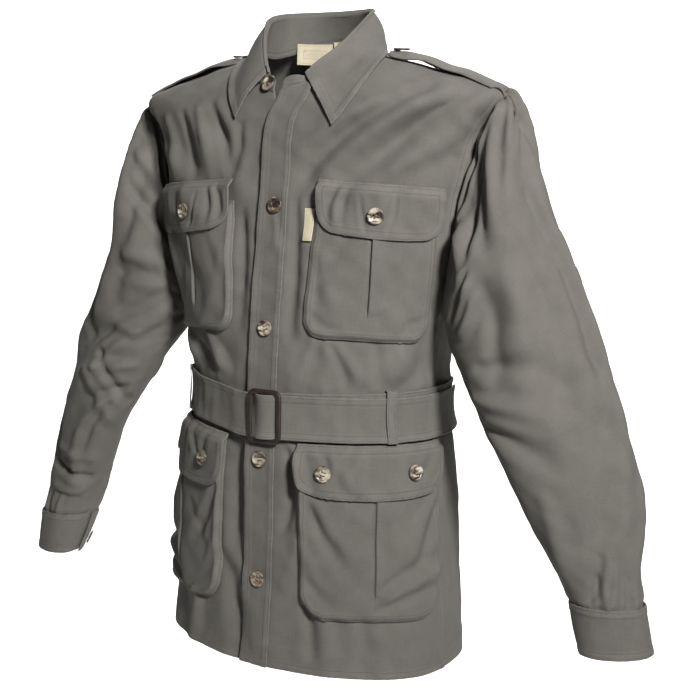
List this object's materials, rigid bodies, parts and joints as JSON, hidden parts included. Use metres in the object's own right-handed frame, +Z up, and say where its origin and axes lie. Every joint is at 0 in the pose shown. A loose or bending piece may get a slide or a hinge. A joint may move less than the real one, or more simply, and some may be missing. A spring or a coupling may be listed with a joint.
{
  "type": "safari jacket",
  "caption": "Belted safari jacket in cotton with a shirt collar, chest and hip patch pockets with buttoned flaps, epaulettes and long cuffed sleeves, filled out as worn.",
  "frame": {"origin": "between the shoulders at the height of the side of the neck, where a wearer's or a stand's shoulders hold the jacket up", "axes": "+Z up, the front faces -Y, the wearer's left is +X"},
  "size_m": [0.9078, 0.3056, 0.8032],
  "materials": {
    "cotton": "warm grey-olive garment-dyed cotton twill, matt",
    "label": "plain cream woven tape, bare",
    "horn": "mottled cream and brown horn look, satin",
    "leather": "dark brown leather over a metal frame, satin"
  },
  "bodies": {
    "root": {"front_left": "cotton", "front_right": "cotton", "back": "cotton", "yoke": "cotton", "sleeve_left": "cotton", "cuff_left": "cotton", "sleeve_right": "cotton", "cuff_right": "cotton", "collar_leaf": "cotton", "collar_stand": "cotton", "chest_pocket_left": "cotton", "chest_flap_left": "cotton", "hip_pocket_left": "cotton", "hip_flap_left": "cotton", "epaulette_left": "cotton", "chest_button_left": "horn", "hip_button_left_1": "horn", "hip_button_left_2": "horn", "epaulette_button_left": "horn", "sleeve_button_left": "horn", "cuff_button_left": "horn", "chest_pocket_right": "cotton", "chest_flap_right": "cotton", "hip_pocket_right": "cotton", "hip_flap_right": "cotton", "epaulette_right": "cotton", "chest_button_right": "horn", "hip_button_right_1": "horn", "hip_button_right_2": "horn", "epaulette_button_right": "horn", "sleeve_button_right": "horn", "cuff_button_right": "horn", "front_button_1": "horn", "front_button_2": "horn", "front_button_3": "horn", "front_button_4": "horn", "front_button_5": "horn", "placket": "cotton", "belt": "cotton", "buckle": "leather", "belt_loop_left": "cotton", "belt_loop_right": "cotton", "belt_loop_back": "cotton", "neck_label": "label", "size_tag": "label", "pocket_tab": "label"}
  },
  "joints": []
}
